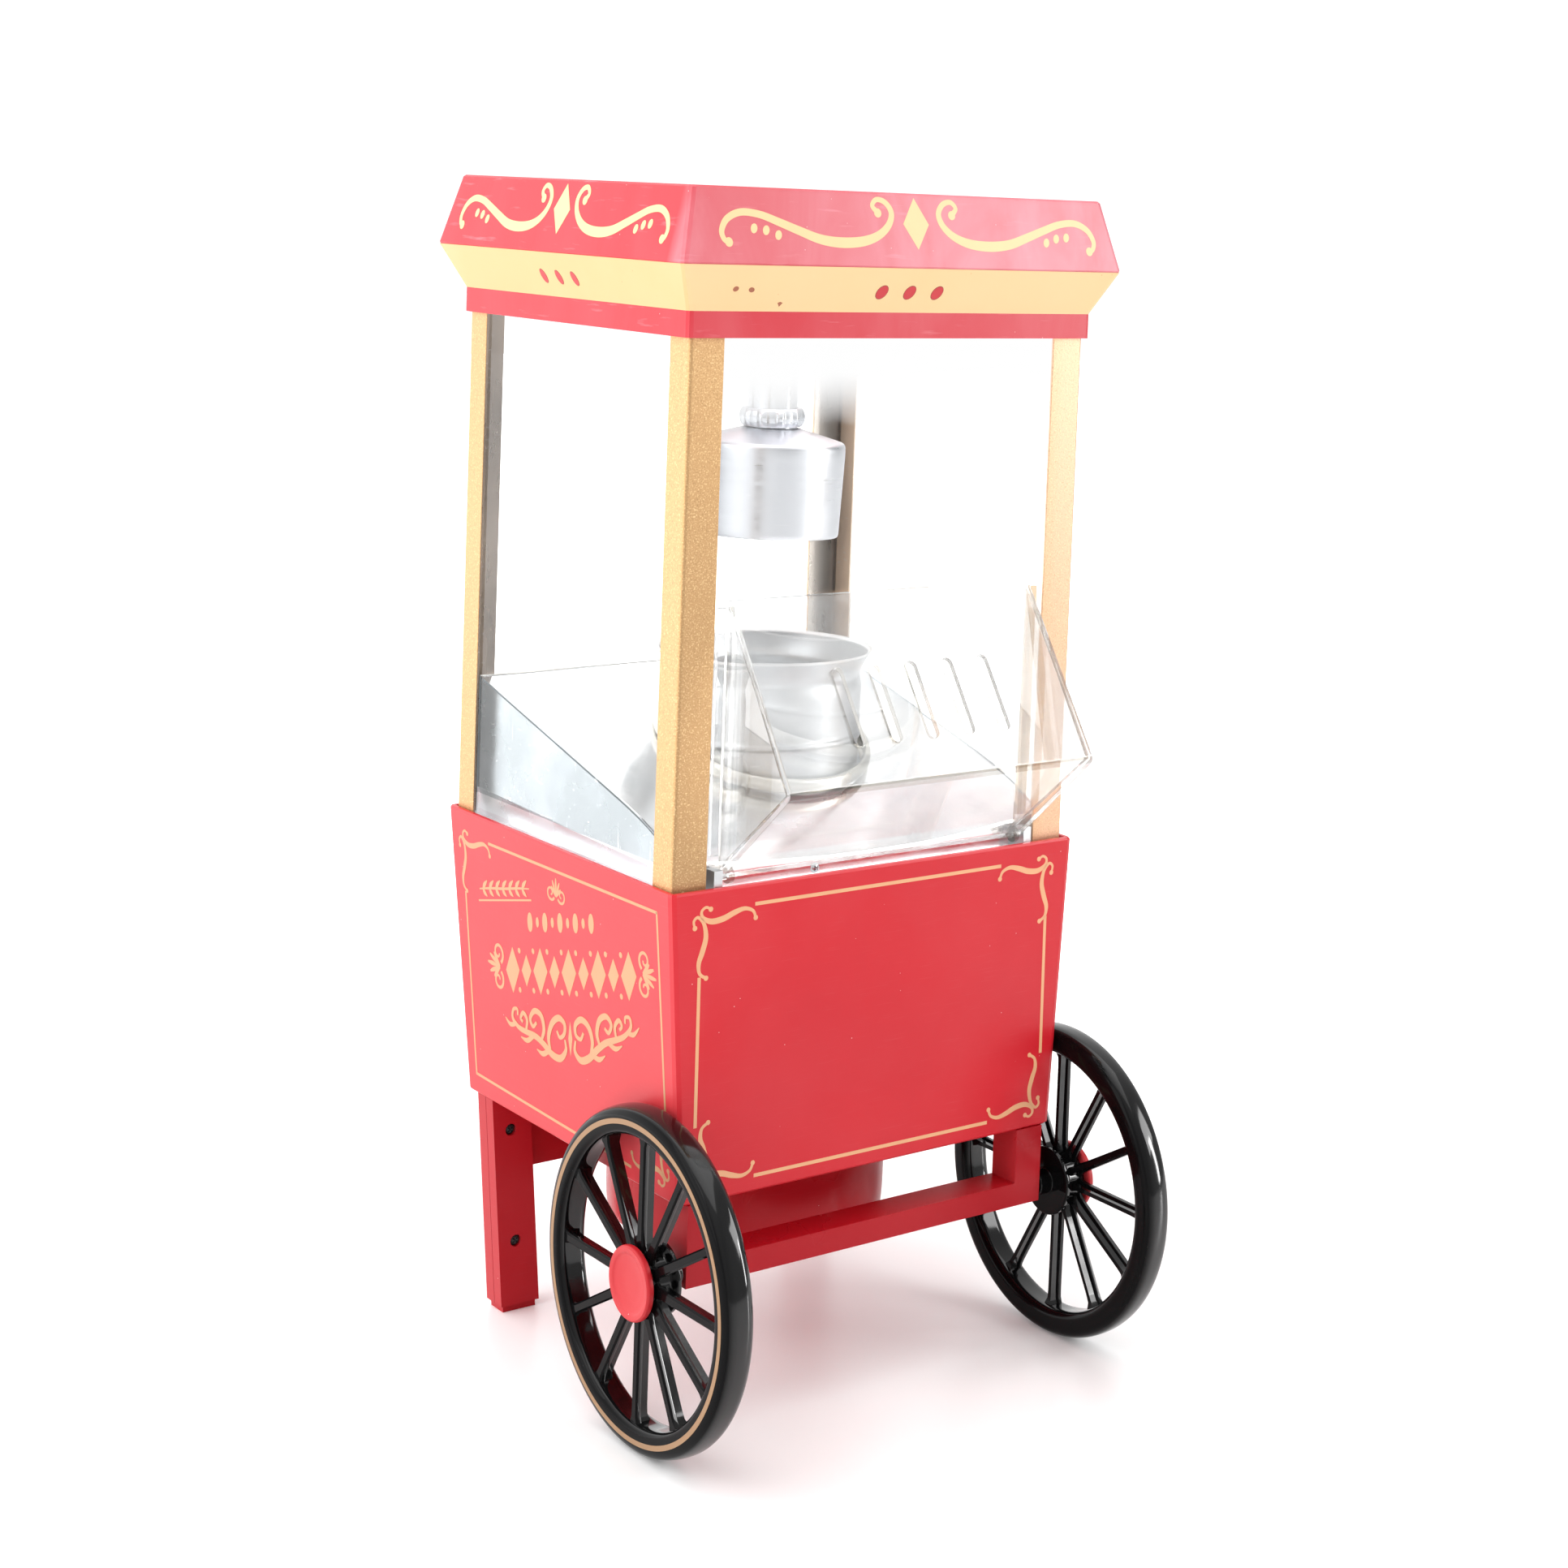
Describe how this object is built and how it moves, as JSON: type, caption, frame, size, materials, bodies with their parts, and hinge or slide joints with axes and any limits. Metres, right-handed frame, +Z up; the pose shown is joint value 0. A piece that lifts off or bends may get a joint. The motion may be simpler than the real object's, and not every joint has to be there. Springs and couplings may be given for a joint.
{
  "type": "popcorn cart",
  "caption": "Tabletop hot-air popcorn maker shaped as a wheeled cart: glazed cabinet with tilting door, hood, kettle and tray on a tapered tub.",
  "frame": {"origin": "on the floor plane under the middle of the bounding box", "axes": "+Z up, -Y towards the door, +X to the right seen from the door"},
  "size_m": [0.2288, 0.2576, 0.5],
  "materials": {
    "red_plastic": "semi-gloss moulded red plastic with painted gold and cream decoration",
    "cream_plastic": "smooth cream plastic",
    "bronze_metal": "fine textured gold-bronze powder coat",
    "clear_acrylic": "clear acrylic sheet",
    "black_gloss": "high gloss black plastic",
    "black_matte": "matt black",
    "aluminium_sheet": "spun and polished aluminium",
    "plain_steel": "plain zinc-plated steel",
    "copper_wire": "dull resistance wire",
    "mica_board": "mica heater board"
  },
  "bodies": {
    "cart": {"tub": "red_plastic", "tub_deck": "plain_steel", "switch_bezel": "black_matte", "strain_relief": "black_matte", "power_cord": "black_matte", "power_plug": "black_matte", "post_front_left": "bronze_metal", "post_front_right": "bronze_metal", "post_rear_left": "bronze_metal", "post_rear_right": "bronze_metal", "pane_left": "clear_acrylic", "pane_right": "clear_acrylic", "pane_rear": "clear_acrylic", "pane_front": "clear_acrylic", "door_hinge_left": "plain_steel", "door_hinge_right": "plain_steel", "canopy_collar": "red_plastic", "canopy_band": "cream_plastic", "canopy_roof": "red_plastic", "canopy_ceiling": "aluminium_sheet", "feed_chute": "aluminium_sheet", "hood": "aluminium_sheet", "hood_neck": "aluminium_sheet", "hood_collar": "aluminium_sheet", "neck_flange": "aluminium_sheet", "pot": "aluminium_sheet", "tray": "aluminium_sheet", "tray_screw": "plain_steel", "tray_collar": "aluminium_sheet", "axle": "plain_steel", "front_frame": "red_plastic", "rear_frame": "red_plastic", "leg_cover_left": "red_plastic", "leg_cover_right": "red_plastic", "foot_left": "red_plastic", "foot_right": "red_plastic", "leg_screw_upper_left": "black_matte", "leg_screw_upper_right": "black_matte", "leg_screw_lower_left": "black_matte", "leg_screw_lower_right": "black_matte", "motor_drum": "red_plastic", "motor": "plain_steel", "motor_bracket": "plain_steel", "air_box": "black_matte", "chamber": "aluminium_sheet", "heater_coil": "copper_wire", "heater_cards": "mica_board"},
    "door": {"door": "clear_acrylic"},
    "wheel_left": {"wheel_left": "black_gloss", "hub_cap_left": "red_plastic"},
    "wheel_right": {"wheel_right": "black_gloss", "hub_cap_right": "red_plastic"},
    "measuring_cup": {"measuring_cup": "red_plastic"},
    "switch_rocker": {"switch_rocker": "red_plastic"},
    "fan": {"fan": "black_matte"}
  },
  "joints": [
    {"name": "door_tilt", "type": "hinge", "parent": "cart", "child": "door", "pos_m": [0, -0.05885, 0.2264], "axis": [1, 0, 0], "range_deg": [0, 38]},
    {"name": "wheel_left_spin", "type": "hinge", "parent": "cart", "child": "wheel_left", "pos_m": [-0.106, -0.06035, 0.0685], "axis": [1, 0, 0], "continuous": true},
    {"name": "wheel_right_spin", "type": "hinge", "parent": "cart", "child": "wheel_right", "pos_m": [0.106, -0.06035, 0.0685], "axis": [1, 0, 0], "continuous": true},
    {"name": "cup_lift", "type": "slide", "parent": "cart", "child": "measuring_cup", "axis": [0, 0, 1], "range_m": [0, 0.03]},
    {"name": "switch_rock", "type": "hinge", "parent": "cart", "child": "switch_rocker", "pos_m": [0.052, 0.11584, 0.178], "axis": [1, 0, 0], "range_deg": [-9, 9]},
    {"name": "fan_spin", "type": "hinge", "parent": "cart", "child": "fan", "pos_m": [0, 0.02915, 0.11], "axis": [0, 0, 1], "continuous": true}
  ]
}
